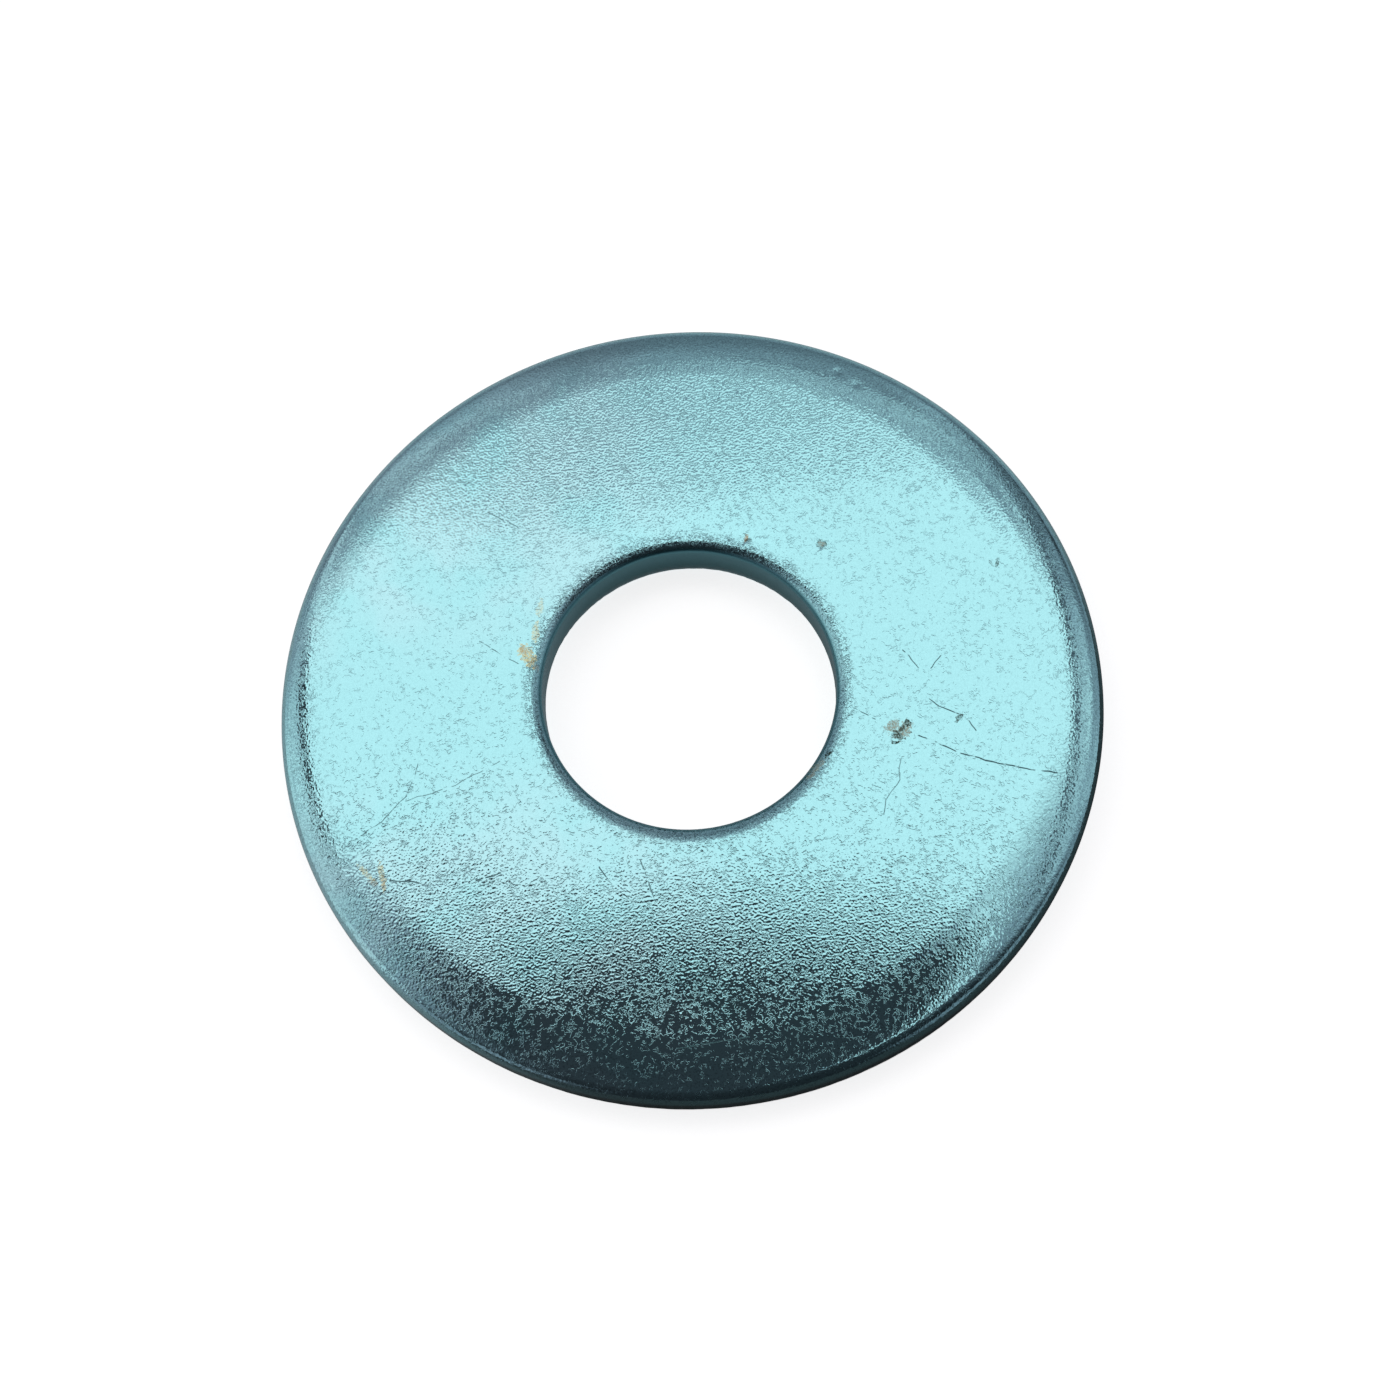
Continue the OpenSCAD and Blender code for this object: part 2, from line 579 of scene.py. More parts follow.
def draw_section(shape):
    """One closed line round the cut face, clockwise from the seat's inner end."""
    pen = Pen(shape, hole_r + HOLE_ROLL_W, thickness)
    pen.line(outer_r - OUTER_ROLL_W, thickness, SEAT_STEPS)
    pen.arc(outer_r - OUTER_ROLL_W, thickness - outer_sweep_r, outer_meet, OUTER_SWEEP_STEPS)
    pen.arc(outer_r - OUTER_LIP_R, thickness - OUTER_ROLL_D, QUARTER - outer_meet, OUTER_LIP_STEPS)
    pen.line(outer_r, OUTER_TEAR_H, WALL_STEPS)
    pen.line(outer_r - TEAR_BACK, LOWER_EDGE_R, WALL_STEPS)
    pen.arc(outer_r - TEAR_BACK - LOWER_EDGE_R, LOWER_EDGE_R, QUARTER, LOWER_EDGE_STEPS)
    pen.line(hole_r + TEAR_BACK + LOWER_EDGE_R, 0, UNDERSIDE_STEPS)
    pen.arc(hole_r + TEAR_BACK + LOWER_EDGE_R, LOWER_EDGE_R, QUARTER, LOWER_EDGE_STEPS)
    pen.line(hole_r, HOLE_TEAR_H, HOLE_TORN_STEPS)
    pen.line(hole_r, thickness - HOLE_ROLL_D, WALL_STEPS)
    pen.arc(hole_r + HOLE_LIP_R, thickness - HOLE_ROLL_D, QUARTER - hole_meet, HOLE_LIP_STEPS)
    pen.arc(hole_r + HOLE_ROLL_W, thickness - hole_sweep_r, hole_meet, HOLE_SWEEP_STEPS)
    bmesh.ops.remove_doubles(shape, verts=shape.verts, dist=SECTION_MERGE)


washer_shape = bmesh.new()
draw_section(washer_shape)
print(len(washer_shape.verts), "points in the section")

# %% [markdown]
# ## Spin the section into the washer
# The whole form is one turn of the section about the hole's axis. One spin of 640 steps
# would do it, but it slows down as it grows, so the section is spun into one wedge, and
# the wedge is copied round. The seams are merged, so the ring is closed. A spin may leave
# the faces inside out, so the normals are recalculated.

# %% Spin
WEDGES = 8
WEDGE_STEPS = 80
SEAM_MERGE = 0.01


def spin_round(shape):
    """Turns the section into a closed, even net of four-sided faces, in millimetres."""
    wedge = math.tau / WEDGES
    line = shape.verts[:] + shape.edges[:]
    bmesh.ops.spin(shape, geom=line, axis=(0, 0, 1), angle=wedge, steps=WEDGE_STEPS)
    piece = shape.verts[:] + shape.edges[:] + shape.faces[:]
    rest = math.tau - wedge
    bmesh.ops.spin(shape, geom=piece, axis=(0, 0, 1), angle=rest, steps=WEDGES - 1, use_duplicate=True)
    bmesh.ops.remove_doubles(shape, verts=shape.verts, dist=SEAM_MERGE)
    bmesh.ops.recalc_face_normals(shape, faces=shape.faces)


spin_round(washer_shape)
print(len(washer_shape.faces), "faces in the washer")

# %% [markdown]
# ## An uneven roll at the hole
# The punch stood a little off the middle of its die, so the hole's roll is much wider on
# the near side than on the far side. The section was drawn with the widest roll, and here
# the roll is shrunk towards the wall by an amount that follows the angle. The first
# millimetres of the seat stretch after it. Two sections, one of each width, could be
# bridged instead, but one ring that is shrunk keeps its even net of faces.

# %% Uneven roll
NARROWEST_ROLL = 0.58
SHALLOWEST_ROLL = 0.85
SEAT_FOLLOWS = 3.0
TORN_CLEAR = 0.01


def uneven_roll(shape):
    """Shrinks the hole's roll towards the wall, most on the far side."""
    for point in shape.verts:
        x, y, z = point.co
        radius = math.hypot(x, y)
        near = 0.5 - 0.5 * y / radius
        share = NARROWEST_ROLL + (1 - NARROWEST_ROLL) * near
        depth_share = SHALLOWEST_ROLL + (1 - SHALLOWEST_ROLL) * near
        past = radius - hole_r - HOLE_ROLL_W
        if past > SEAT_FOLLOWS or z < HOLE_TEAR_H + TORN_CLEAR:
            continue
        moved = radius - (1 - share) * HOLE_ROLL_W * (1 - past / SEAT_FOLLOWS)
        if past < 0:
            moved = hole_r + (radius - hole_r) * share
            drop = thickness - z
            reach = thickness - HOLE_TEAR_H
            land = max(0.0, drop - HOLE_ROLL_D) / (reach - HOLE_ROLL_D)
            roll_d = HOLE_ROLL_D * depth_share
            point.co.z = thickness - min(drop, HOLE_ROLL_D) * depth_share - land * (reach - roll_d)
        point.co.x *= moved / radius
        point.co.y *= moved / radius


uneven_roll(washer_shape)
print(f"hole's roll from {HOLE_ROLL_W * NARROWEST_ROLL:.2f} to {HOLE_ROLL_W:.2f} mm wide")

# %% [markdown]
# ## Relief deep enough to feel
# No pressed sheet is truly flat. Broad, shallow waves come from the coil, smaller ones
# from knocking about in the tumbler, and both bend the reflection of the light. The torn
# bands are rough, with streaks along the cut. All of this is deep enough to be real
# shape, so every point is moved along its normal by a few thousandths of a millimetre,
# and by some hundredths on the torn bands and in six small nicks. The relief only goes
# inwards, so the washer never grows past its size. A Displace modifier could do it with a
# texture, but a formula can tell the seat, the lands and the torn bands apart.

# %% Relief
BROAD_PITCH = 6.0
BROAD_DEPTH = 0.009
BROAD_SEED = 0.0
DIMPLE_PITCH = 1.0
DIMPLE_DEPTH = 0.0012
DIMPLE_SEED = 30.0
TORN_PITCH = Vector((0.45, 0.45, 1.6))
TORN_DEPTH = 0.05
TORN_SEED = 60.0
TORN_OVERLAP = 0.15
NICKS = (
    ((13.6, 22.4), 0.5, 0.05), ((14.7, 21.1), 0.45, 0.04), ((22.3, 5.9), 0.35, 0.02),
    ((5.3, 10.2), 0.4, 0.04), ((10.3, 8.8), 0.3, 0.03), ((-11.1, -23.9), 0.6, 0.02),
)


def hills(place, pitch, seed):
    """Smooth noise from 0 to 1 with the given distance between hills."""
    return 0.5 + 0.5 * noise.noise(place / pitch + Vector((seed, 0, 0)))


def tornness(radius, z):
    """1 on the torn bands and 0 elsewhere."""
    if radius > outer_r - OUTER_LIP_R:
        return min(1.0, max(0.0, (OUTER_TEAR_H + TORN_OVERLAP - z) / (2 * TORN_OVERLAP)))
    if radius < hole_r + HOLE_LIP_R:
        return min(1.0, max(0.0, (HOLE_TEAR_H + TORN_OVERLAP - z) / (2 * TORN_OVERLAP)))
    return 0.0


def depth_at(place):
    """How far the surface lies under its ideal form, in millimetres."""
    depth = BROAD_DEPTH * hills(place, BROAD_PITCH, BROAD_SEED)
    depth += DIMPLE_DEPTH * hills(place, DIMPLE_PITCH, DIMPLE_SEED)
    torn = tornness(math.hypot(place.x, place.y), place.z)
    if torn > 0:
        streaks = Vector(a / b for a, b in zip(place, TORN_PITCH))
        depth += torn * TORN_DEPTH * hills(streaks, 1.0, TORN_SEED)
    for (x, y), reach, deep in NICKS:
        off = math.hypot(place.x - x, place.y - y) / reach
        if off < 1 and place.z > thickness / 2:
            depth += deep * (1 - off * off) ** 2
    return depth


def press_relief(shape):
    """Moves each point inwards by its depth, and gives the deepest move."""
    shape.normal_update()
    moves = [(point, point.normal * depth_at(point.co)) for point in shape.verts]
    for point, move in moves:
        point.co -= move
    return max(move.length for _, move in moves)


print(f"deepest point {press_relief(washer_shape):.3f} mm")

# %% [markdown]
# ## The washer as an object
# The mesh so far is in millimetres. It is scaled to metres before it becomes an object,
# so the object itself stays unscaled at the origin. It rides on the frame's one body
# and takes the place of the plain solid.

# %% Washer object
def washer_object(shape):
    """The shape as an object in metres, shaded smooth."""
    bmesh.ops.scale(shape, vec=(MM, MM, MM), verts=shape.verts)
    for face in shape.faces:
        face.smooth = True
    mesh = bpy.data.meshes.new("washer_skin")
    shape.to_mesh(mesh)
    shape.free()
    piece = bpy.data.objects.new("washer_skin", mesh)
    bpy.context.collection.objects.link(piece)
    return piece


washer = washer_object(washer_shape)
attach(washer, "root")
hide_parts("washer")
print("washer size", tuple(round(v / MM, 2) for v in washer.dimensions), "mm")

# %% [markdown]
# ## Places on the metal
# Every pattern of the finish reads the object's own coordinates, turned to millimetres by
# a Mapping node, so it stays on the metal in any view. The distance from the axis and
# the height tell the seat, the rolls, the lands and the torn bands apart. `fog` is the
# one noise that all the patterns are made of.

# %% Coordinates of the finish
SEED_WAY = (1.0, 0.7, 1.3)
zinc = bpy.data.materials.new("zinc_plated_steel")
zinc_tree = fresh_tree(zinc)
in_metres = add_node(zinc_tree, "TexCoord", out="Object")
spot = in_metres.node("Mapping", Vector=in_metres, Scale=(1 / MM, 1 / MM, 1 / MM))
flat_spot = spot.vector("MULTIPLY", (1, 1, 0))
radius = flat_spot.vector("LENGTH", out="Value")
height = spot.node("SeparateXYZ", Vector=spot).out("Z")
to_right = height.out("X")
to_far = height.out("Y")


def fog(pitch, seed, detail, stretch=(1, 1, 1)):
    """Smooth noise from 0 to 1. The pitch is the size of its hills in millimetres."""
    shift = tuple(seed * share for share in SEED_WAY)
    scale = tuple(share / pitch for share in stretch)
    moved = spot.node("Mapping", Vector=spot, Location=shift, Scale=scale)
    return moved.node("TexNoise", Vector=moved, Scale=1.0, Detail=detail, Roughness=0.5)


print(len(zinc_tree.nodes), "nodes for the places")

# %% [markdown]
# A band of the metal is a soft step of the radius or of the height, 1 on the band and 0 off
# it. Two of them multiplied give a band that needs both. The mesh could carry them as
# colours on its points, but some of the steps are narrower than a face. The two numbers
# behind a name are where its step starts and where it ends.

# %% Bands of the metal
UPPER_SIDE = (1.0, 2.0)
NEAR_SIDE = (-9.0, -17.0)
FAR_SIDE = (9.0, 20.0)
OUTER_ROLL = (24.5, 25.8)
OUTER_SKIN = 0.4
HOLE_SKIN = 0.3
OUTER_WALL = (0.5, -0.1)
HOLE_WALL = (0.35, 0.12)
TORN_EDGE = 0.1
HOLE_WEAR = (1.6, 0.7)
upper_side = fade(height, *UPPER_SIDE)
near_side = fade(to_far, *NEAR_SIDE)
on_roll = fade(radius, *OUTER_ROLL)
hole_wear = fade(radius, hole_r + HOLE_WEAR[0], hole_r + HOLE_WEAR[1])
outside = fade(radius, outer_r - OUTER_LIP_R, outer_r - OUTER_SKIN)
inside = fade(radius, hole_r + HOLE_LIP_R, hole_r + HOLE_SKIN)
land_top = thickness - OUTER_ROLL_D
outer_wall = outside * fade(height, land_top + OUTER_WALL[0], land_top + OUTER_WALL[1])
hole_wall = fade(radius, hole_r + HOLE_WALL[0], hole_r + HOLE_WALL[1])
wall = outer_wall.math("MAXIMUM", hole_wall)
outer_torn = outside * fade(height, OUTER_TEAR_H + TORN_EDGE, OUTER_TEAR_H - TORN_EDGE)
hole_torn = inside * fade(height, HOLE_TEAR_H + TORN_EDGE, HOLE_TEAR_H - TORN_EDGE)
torn = outer_torn.math("MAXIMUM", hole_torn)
print(f"outer land from {OUTER_TEAR_H:.1f} to {land_top:.1f} mm high")

# %% [markdown]
# ## Grain
# Tumbling and the plating bath leave a fine, even grain like leather. Where the panel's
# edge is mirrored it shows as rows of small waves, in the dark part as bright squiggles,
# and in the bright part as faint dark ticks. All three are one surface: small low hills,
# cut by short shallow creases. An image could be wrapped round the washer for it, but a
# noise has no seam and never repeats. The hills are a plain noise. A crease follows a line
# along which another noise crosses its middle value, which wanders as a real crease
# does, and a mask breaks it into short bits. Each kind of crease has a pitch, a seed and
# the width of its dark core. That dark is painted shade in the crease.

# %% Creases
TICKS = ((0.20, 11.0, 0.07), (0.34, 23.0, 0.05))
TICK_FLANK = 0.06
MASK_PITCH = 1.6
MASK_SEED = 5.0
FLANK_MASK = (0.54, 0.68)
CORE_MASK = (0.58, 0.70)
HOLE_DENSER = 0.2
PATCH_PITCH = 2.6
PATCH_DENSER = 0.16
NEAR_FLANK_DENSER = 0.06
NEAR_CORE_DENSER = 0.05
denser = hole_wear * HOLE_DENSER
patches = fog(PATCH_PITCH, seed=91.0, detail=0.0) * PATCH_DENSER - PATCH_DENSER / 2


def tick_lines(pitch, seed, width):
    """Two masks of wandering short lines: their flanks and their narrow dark cores, where shade is
    painted later.
    """
    off = (fog(pitch, seed, detail=1.0) - 0.5).math("ABSOLUTE")
    shown = fog(pitch * MASK_PITCH, seed + MASK_SEED, detail=0.0) + denser + patches
    flank = (1 - fade(off, 0.0, TICK_FLANK)) * fade(shown + near_side * NEAR_FLANK_DENSER, *FLANK_MASK)
    core = (1 - fade(off, 0.0, width)) * fade(shown + near_side * NEAR_CORE_DENSER, *CORE_MASK)
    return flank, core


(fine_flank, fine_core), (coarse_flank, coarse_core) = [tick_lines(*kind) for kind in TICKS]
print(len(zinc_tree.nodes), "nodes with the creases")

# %% [markdown]
# The grain isn't equally strong everywhere. It is boldest at the hole's edge and on the
# far side, then on the lower left, and a little bolder on the outer roll. These places
# could get a grain of their own, but one factor, `steepness`, scales the whole grain from
# place to place and keeps it one surface.

# %% Grain height
HILL_PITCH = 0.16
HILL_HEIGHT = 0.0048
FINE_DEPTH = 0.0023
COARSE_DEPTH = 0.0028
FINE_SHADE = 0.4
COARSE_SHADE = 0.8
NEAR_BOLDER = 0.6
HOLE_STEEPER = 1.6
FAR_STEEPER = 1.7
LEFT_SIDE = (-9.0, -19.0)
LOWER_SIDE = (-1.0, -9.0)
LOWER_LEFT_STEEPER = 1.1
ROLL_STEEPER = 0.25
NEAR_ROLL_STEEPER = 0.6
ticks = (fine_flank * FINE_DEPTH).math("MAXIMUM", coarse_flank * COARSE_DEPTH)
# The cores' mask paints shade into the creases' colour further down, and makes them rougher.
tick_cores = fine_core * (near_side * NEAR_BOLDER + FINE_SHADE)
tick_cores = tick_cores.math("MAXIMUM", coarse_core * COARSE_SHADE)
lower_left_steeper = fade(to_right, *LEFT_SIDE) * fade(to_far, *LOWER_SIDE) * LOWER_LEFT_STEEPER
far_steeper = fade(to_far, *FAR_SIDE) * FAR_STEEPER * (1 - on_roll)
roll_steeper = on_roll * mix(near_side, ROLL_STEEPER, NEAR_ROLL_STEEPER)
steepness = 1 + hole_wear * HOLE_STEEPER + lower_left_steeper + far_steeper + roll_steeper
grain = (fog(HILL_PITCH, seed=3.0, detail=0.0) * HILL_HEIGHT - ticks) * steepness
print(len(zinc_tree.nodes), "nodes with the grain")

# %% [markdown]
# ## Walls
# Down the walls the punch left fine straight drag lines, and the torn band is coarse. Both
# are dull, and further down their colour is made darker as painted shade, for the walls
# mirror the shadowed floor. The lines could be grooves in the mesh, but they are as fine
# as the grain, so they are the same noise, stretched along the wall.

# %% Wall height
DRAG_PITCH = 0.12
DRAG_HEIGHT = 0.006
DRAG_STRETCH = (1, 1, 0.05)
TORN_GRAIN_PITCH = 0.35
TORN_GRAIN_HEIGHT = 0.03
TORN_GRAIN_STRETCH = (1, 1, 0.4)
drag = fog(DRAG_PITCH, seed=7.0, detail=0.0, stretch=DRAG_STRETCH) * DRAG_HEIGHT
torn_grain = fog(TORN_GRAIN_PITCH, seed=9.0, detail=1.0, stretch=TORN_GRAIN_STRETCH)
torn_grain = torn_grain * TORN_GRAIN_HEIGHT
wall_height = drag + torn_grain * torn
surface_height = grain * (1 - wall) + wall_height * wall
print(len(zinc_tree.nodes), "nodes with the walls")

# %% [markdown]
# ## Scratches
# Other washers in the tumbler and in the bag left single scratches. They could be cut into
# the mesh, but they are far finer than its faces, so the shader draws them. Each one is a
# width, a strength and a few straight bits, in millimetres from the hole's axis. The
# shader works out how far a point lies from each bit: it finds the nearest place on the
# bit and measures to it. Close to the line the plate is darker and duller. A slow noise
# bends the straight bits a little, and another one leaves gaps in them.

# %% Scratches
LONG_SCRATCHES = (
    (0.045, 0.8, ((10.7, -3.2), (12.1, -4.2))),
    (0.055, 1.0, ((14.2, -5.5), (15.4, -6.2), (17.2, -7.3), (19.7, -8.5), (22.2, -9.3), (23.4, -9.6))),
    (0.040, 0.6, ((13.3, -7.2), (13.0, -8.6), (11.9, -9.9), (11.6, -10.9))),
    (0.045, 1.0, ((-3.7, -24.3), (0.9, -24.2))),
    (0.040, 0.7, ((-18.5, -2.5), (-18.9, -4.0), (-19.6, -5.3), (-21.3, -6.8), (-22.8, -7.6))),
    (0.040, 0.6, ((-13.2, -3.7), (-16.3, -5.0), (-19.6, -5.6))),
    (0.055, 1.0, ((-15.4, -11.7), (-13.4, -11.3))),
    (0.045, 0.8, ((-15.3, -12.1), (-14.2, -11.8))),
    (0.045, 1.0, ((-21.1, -10.9), (-19.2, -11.3))),
    (0.030, 0.5, ((-19.2, -11.3), (-16.4, -11.6))),
    (0.045, 0.9, ((-7.3, -11.9), (-6.5, -13.5))),
    (0.045, 0.8, ((-4.0, -14.6), (-4.6, -11.8))),
    (0.040, 0.7, ((-13.8, 5.1), (-12.4, 3.9), (-11.3, 3.1))),
    (0.045, 0.7, ((-13.4, 15.5), (-10.4, 13.3))),
    (0.045, 0.8, ((14.7, 0.4), (15.5, -1.0))),
    (0.045, 0.8, ((16.3, -1.1), (17.2, -0.3))),
    (0.050, 0.9, ((15.7, -3.2), (16.6, -4.0), (17.6, -4.6))),
    (0.045, 0.8, ((18.2, -5.2), (18.5, -6.0))),
)
WANDER_PITCH = 1.2
WANDER = 0.3
GAP_PITCH = 0.5
GAPS = (0.36, 0.50)
SCRATCH_OUTER = 1.25
SCRATCH_INNER = 0.3
wander = fog(WANDER_PITCH, seed=41.0, detail=1.0).out("Color")
bend = wander.vector("MULTIPLY_ADD", (WANDER, WANDER, 0), flat_spot)
scratch_spot = bend.vector("SUBTRACT", (WANDER / 2, WANDER / 2, 0))


def off_line(start, end):
    """Distance in millimetres from the straight bit between two points."""
    way = Vector((end[0] - start[0], end[1] - start[1], 0))
    from_start = scratch_spot.vector("SUBTRACT", (start[0], start[1], 0))
    along = from_start.vector("DOT_PRODUCT", tuple(way / way.length_squared), out="Value")
    along = along.node("Clamp", Value=along)
    nearest = along.node("VectorMath", {"operation": "SCALE"}, Scale=along, **{"0": tuple(way)})
    return from_start.vector("DISTANCE", nearest, out="Value")


def scratch_mask(width, strength, points):
    """1 in the middle of one scratch, 0 past its width."""
    off = off_line(points[0], points[1])
    for start, end in zip(points[1:], points[2:]):
        off = off.math("MINIMUM", off_line(start, end))
    return fade(off, width * SCRATCH_OUTER, width * SCRATCH_INNER) * strength


scratched = scratch_mask(*LONG_SCRATCHES[0])
for scratch in LONG_SCRATCHES[1:]:
    scratched = scratched.math("MAXIMUM", scratch_mask(*scratch))
scratched = scratched * fade(fog(GAP_PITCH, seed=45.0, detail=1.0), *GAPS) * upper_side
print(len(LONG_SCRATCHES), "scratches")

# %% [markdown]
# ## Stains
# A few spots took no film and went tan, and one heart-shaped spot beside the hole is bare
# grey with dark edges. They could be painted into an image, but ovals keep their place
# and can be changed one by one. Each blot is an oval with a middle, a reach, a turn, a
# tone and a strength, and noise breaks up its edge and its inside. A stain changes the
# colour and dulls the shine.

# %% Stains
TAN = (0.66, 0.66, 0.40, 1)
RUST = (0.42, 0.30, 0.16, 1)
GREY = (0.30, 0.36, 0.31, 1)
SOOT = (0.04, 0.07, 0.06, 1)
STAINS = (
    ((-10.6, 3.6), (0.55, 0.95), 20, TAN, 0.95), ((-10.8, 4.0), (0.25, 0.45), 20, RUST, 0.6),
    ((-10.2, 2.8), (0.22, 0.5), 35, RUST, 0.35), ((-9.9, 5.2), (0.3, 0.9), -12, TAN, 0.65),
    ((-9.4, 7.0), (0.3, 0.7), -15, TAN, 0.45),
    ((13.15, -4.9), (0.6, 0.5), 40, GREY, 0.95), ((13.75, -5.3), (0.8, 0.5), 40, GREY, 1.0),
    ((13.4, -5.6), (0.55, 0.3), -40, SOOT, 0.9), ((14.15, -4.8), (0.34, 0.24), 30, SOOT, 1.0),
    ((13.1, -6.05), (0.25, 0.16), 0, SOOT, 1.0), ((13.75, -5.15), (0.2, 0.34), -35, SOOT, 0.8),
    ((-22.6, -10.2), (0.2, 0.9), 38, TAN, 0.7), ((-22.2, -10.9), (0.4, 0.22), -40, RUST, 0.5),
    ((-21.55, -10.6), (0.22, 1.15), 5, TAN, 0.7), ((-21.5, -11.0), (0.16, 0.5), 0, RUST, 0.45),
    ((7.6, -7.1), (0.95, 0.3), 45, TAN, 0.45), ((8.6, -6.2), (0.42, 0.13), 30, SOOT, 1.0),
    ((5.3, 10.2), (0.16, 0.45), -25, RUST, 0.8), ((5.5, 10.0), (0.3, 0.2), 0, SOOT, 0.6),
    ((10.4, 9.0), (0.38, 0.34), 0, SOOT, 0.75), ((10.4, 9.0), (0.24, 0.2), 0, GREY, 0.9),
    ((17.6, -4.9), (0.45, 0.2), 40, SOOT, 0.85), ((22.1, 5.9), (0.14, 0.4), -15, SOOT, 0.8),
    ((21.7, 5.9), (0.1, 0.3), 25, SOOT, 0.5),
)
RAGGED_PITCH = 0.22
RAGGED = 1.6
BLOT_EDGE = (1.0, 0.75)
STREAKY_PITCH = 0.13
STREAKY = (0.42, 0.56)
ragged = fog(RAGGED_PITCH, seed=51.0, detail=1.0)
streaky = fade(fog(STREAKY_PITCH, seed=57.0, detail=1.0), *STREAKY)


def stain_mask(centre, reach, turn, strength):
    """One oval blot with a ragged edge, 1 in its middle."""
    there = {"Location": (*centre, 0), "Rotation": (0, 0, math.radians(turn)), "Scale": (*reach, 1)}
    local = flat_spot.node("Mapping", {"vector_type": "TEXTURE"}, Vector=flat_spot, **there)
    off = local.vector("LENGTH", out="Value")
    off = off + (ragged - 0.5) * RAGGED
    return fade(off, *BLOT_EDGE) * upper_side * strength


stain_masks = [stain_mask(centre, reach, turn, strength) for centre, reach, turn, _, strength in STAINS]
stain = stain_masks[0]
for blot in stain_masks[1:]:
    stain = stain.math("MAXIMUM", blot)
print(len(STAINS), "blots in the stains")

# %% [markdown]
# ## Colour
# The zinc is bare metal, so the base colour is the colour of its reflection: a pale, cool
# blue-green, slightly greyer in patches on the left where the film is thin. The cores of
# the creases go towards a dark tone as painted shade. The scratches and fine specks on the
# worn edges go towards the same tone, and a very fine bloom dulls everything a little.

# %% Colour of the seat and the rolls
ZINC = (0.425, 0.83, 0.89, 1)
ZINC_THIN_FILM = (0.485, 0.83, 0.895, 1)
SHADE_AND_WEAR_TONE = (0.07, 0.16, 0.18, 1)
THIN_OFF_MIDDLE = (2.0, 10.0)
THIN_LEFT = (6.0, -8.0)
THIN_PITCH = 5.0
THIN_PATCHES = (0.3, 0.6)
SPECK_PITCH = 0.12
SPECKS = (0.56, 0.66)
ROLL_SPECKS = 0.3
HOLE_SPECKS = 0.6
BLOOM_PITCH = 0.09
BLOOM_RANGE = (0.30, 0.75)
BLOOM = 0.10
TICK_PAINTED_SHADE = 0.25
SCRATCH_SHADE = 0.9
thin_film = fade(to_far.math("ABSOLUTE"), *THIN_OFF_MIDDLE) * fade(to_right, *THIN_LEFT)
thin_film = thin_film * fade(fog(THIN_PITCH, seed=71.0, detail=2.0), *THIN_PATCHES)
colour = blend_colour(thin_film, ZINC, ZINC_THIN_FILM)
tick_cores = tick_cores * (1 - wall)
specks = fade(fog(SPECK_PITCH, seed=77.0, detail=0.0), *SPECKS) * (1 - wall)
specks = specks * (on_roll * ROLL_SPECKS).math("MAXIMUM", hole_wear * HOLE_SPECKS)
bloom = fade(fog(BLOOM_PITCH, seed=83.0, detail=0.0), *BLOOM_RANGE) * BLOOM
# Painted shade in the crease cores, joined with the scratches, specks and bloom.
crease_shade_and_marks = (tick_cores * TICK_PAINTED_SHADE).math("MAXIMUM", scratched * SCRATCH_SHADE)
crease_shade_and_marks = crease_shade_and_marks.math("MAXIMUM", specks) + bloom
colour = blend_colour(crease_shade_and_marks, colour, SHADE_AND_WEAR_TONE)
print(len(zinc_tree.nodes), "nodes with the seat's colour")
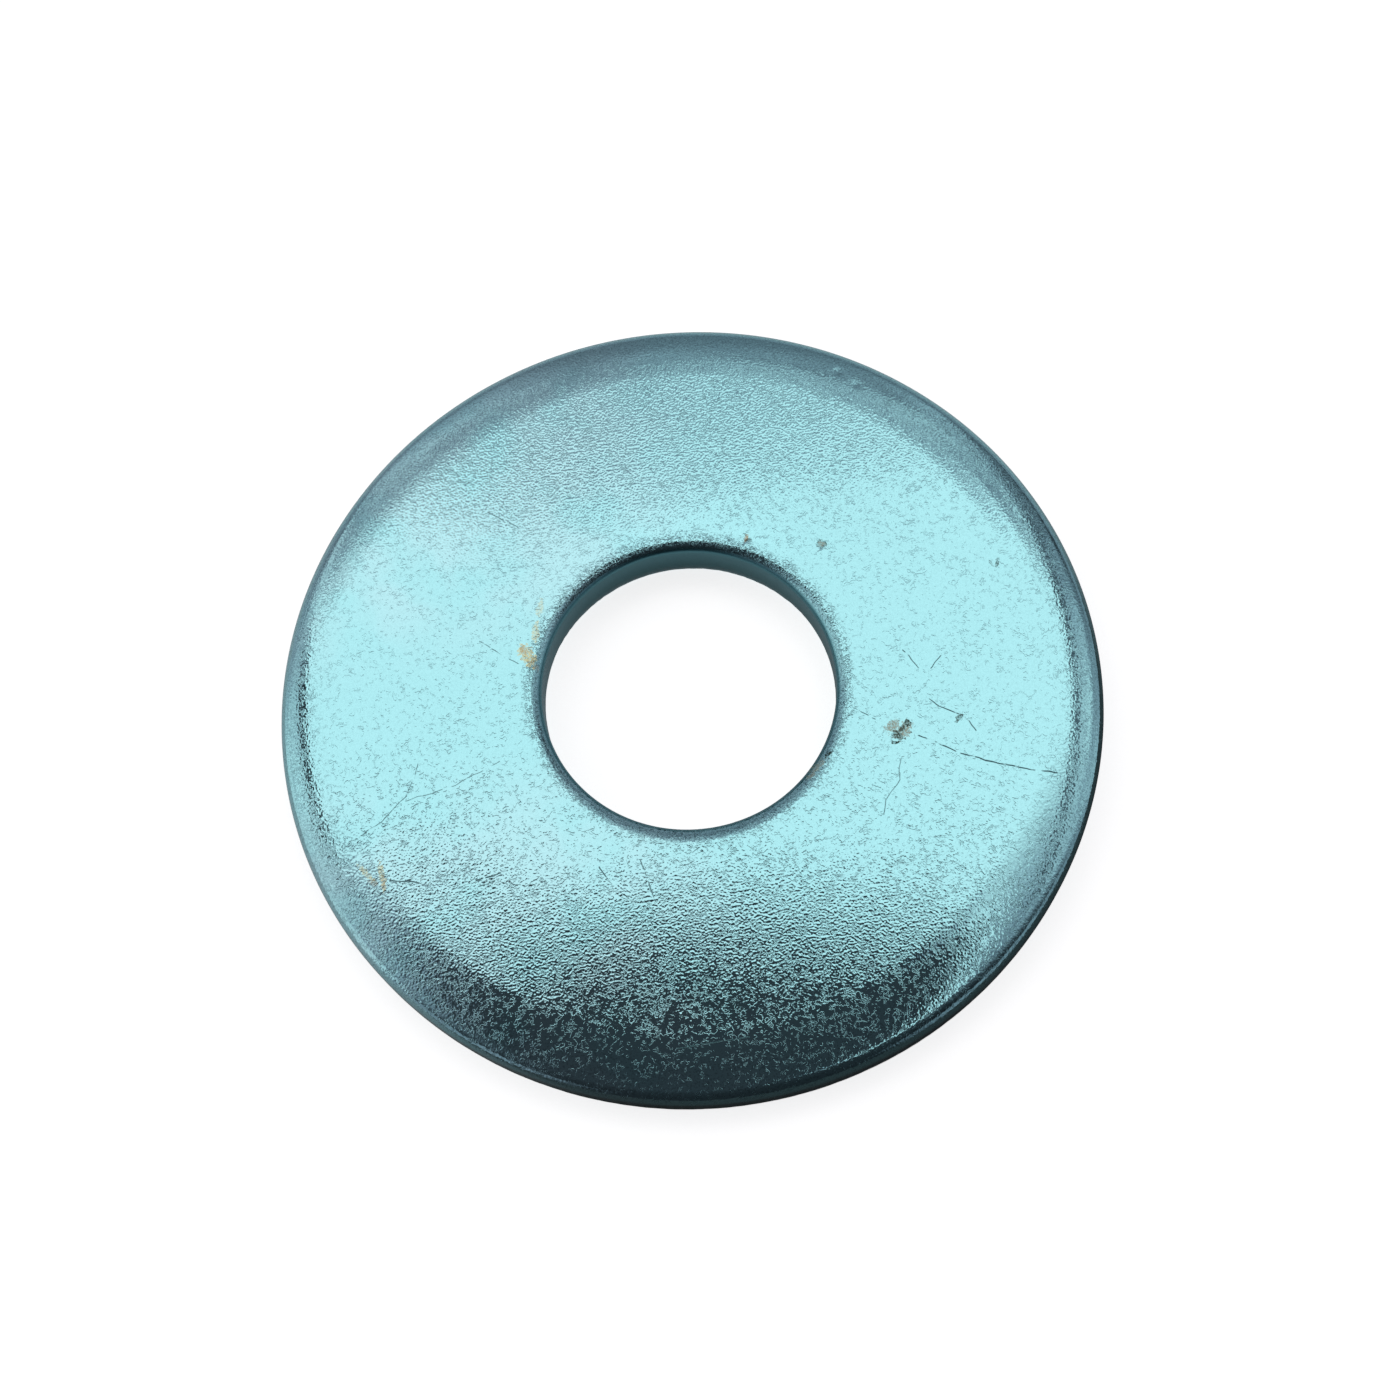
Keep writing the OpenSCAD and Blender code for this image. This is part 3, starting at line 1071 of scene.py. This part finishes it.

# %% [markdown]
# The walls are the same metal in darker tones, which are painted shade. They could be a
# second material, but then the change from plate to wall would be a hard line. The outer
# wall has upright streaks, and crumbs of a darker tone on its torn band. The hole's wall
# grows lighter towards its top, as painted shade that is deepest at the hole's foot. The
# stains lie over everything.

# %% Colour of the walls and stains
# The walls' darker tones are painted shade.
OUTER_WALL_SHADED_TONE = (0.26, 0.42, 0.45, 1)
HOLE_WALL_SHADED_TONE = (0.10, 0.28, 0.31, 1)
HOLE_WALL_SHADED_TOP = (0.14, 0.36, 0.41, 1)
HOLE_WALL_SHADE_RISE = (1.3, 3.3)
STREAK_PITCH = 0.3
STREAK_STRETCH = (1, 1, 0.06)
STREAKS = (0.35, 0.65)
STREAK_SHADE = 0.35
CRUMB_PITCH = 0.35
CRUMB_STRETCH = (1, 1, 0.6)
CRUMBS = (0.40, 0.60)
CRUMB_SHADE = 0.4
BLOT_LEAST = 0.4
streak_fog = fog(STREAK_PITCH, seed=7.0, detail=0.0, stretch=STREAK_STRETCH)
crumb_fog = fog(CRUMB_PITCH, seed=9.0, detail=1.0, stretch=CRUMB_STRETCH)
streaks = fade(streak_fog, *STREAKS) * STREAK_SHADE
crumbs = fade(crumb_fog, *CRUMBS) * CRUMB_SHADE
# Painted shade on the outer wall, with its streaks and crumbs.
outer_wall_shaded = blend_colour(streaks + torn * crumbs, OUTER_WALL_SHADED_TONE, SHADE_AND_WEAR_TONE)
colour = blend_colour(outer_wall, colour, outer_wall_shaded)
# Painted shade on the hole's wall, darkest at its foot and lighter towards its top.
hole_wall_shaded = blend_colour(fade(height, *HOLE_WALL_SHADE_RISE), HOLE_WALL_SHADED_TONE, HOLE_WALL_SHADED_TOP)
colour = blend_colour(hole_wall, colour, hole_wall_shaded)
for blot, (_, _, _, tone, _) in zip(stain_masks, STAINS):
    colour = blend_colour(blot * (BLOT_LEAST + streaky * (1 - BLOT_LEAST)), colour, tone)
print(len(zinc_tree.nodes), "nodes with all the colour")

# %% [markdown]
# ## Put the finish together
# Metallic is 1 everywhere, because even the stains are thin on bare metal. The plate is
# almost a mirror, and its grain spreads the light. Walls, stains, creases and scratches
# are rougher. The heights go through one Bump node in real units, so the grain has the
# depth that the numbers above say.

# %% Zinc plate
ROUGHNESS = 0.04
WALL_ROUGHNESS = 0.32
STAIN_ROUGHNESS = 0.22
TICK_ROUGHENS = 0.25
SCRATCH_ROUGHENS = 0.45
BUMP_STRENGTH = 1.0
roughness = ROUGHNESS + wall * (WALL_ROUGHNESS - ROUGHNESS) + stain * (STAIN_ROUGHNESS - ROUGHNESS)
roughness = roughness + (tick_cores * TICK_ROUGHENS).math("MAXIMUM", scratched * SCRATCH_ROUGHENS)
bump = surface_height.node("Bump", Strength=BUMP_STRENGTH, Distance=MM, Height=surface_height)
metal = bump.node("BsdfPrincipled", Base_Color=colour, Metallic=1.0, Roughness=roughness, Normal=bump)
metal.node("OutputMaterial", Surface=metal)
washer.data.materials.append(zinc)
print(len(zinc_tree.nodes), "nodes in the zinc plate")

# %% [markdown]
# ## Size
# The dressed washer must fill the same box as the plain solid.
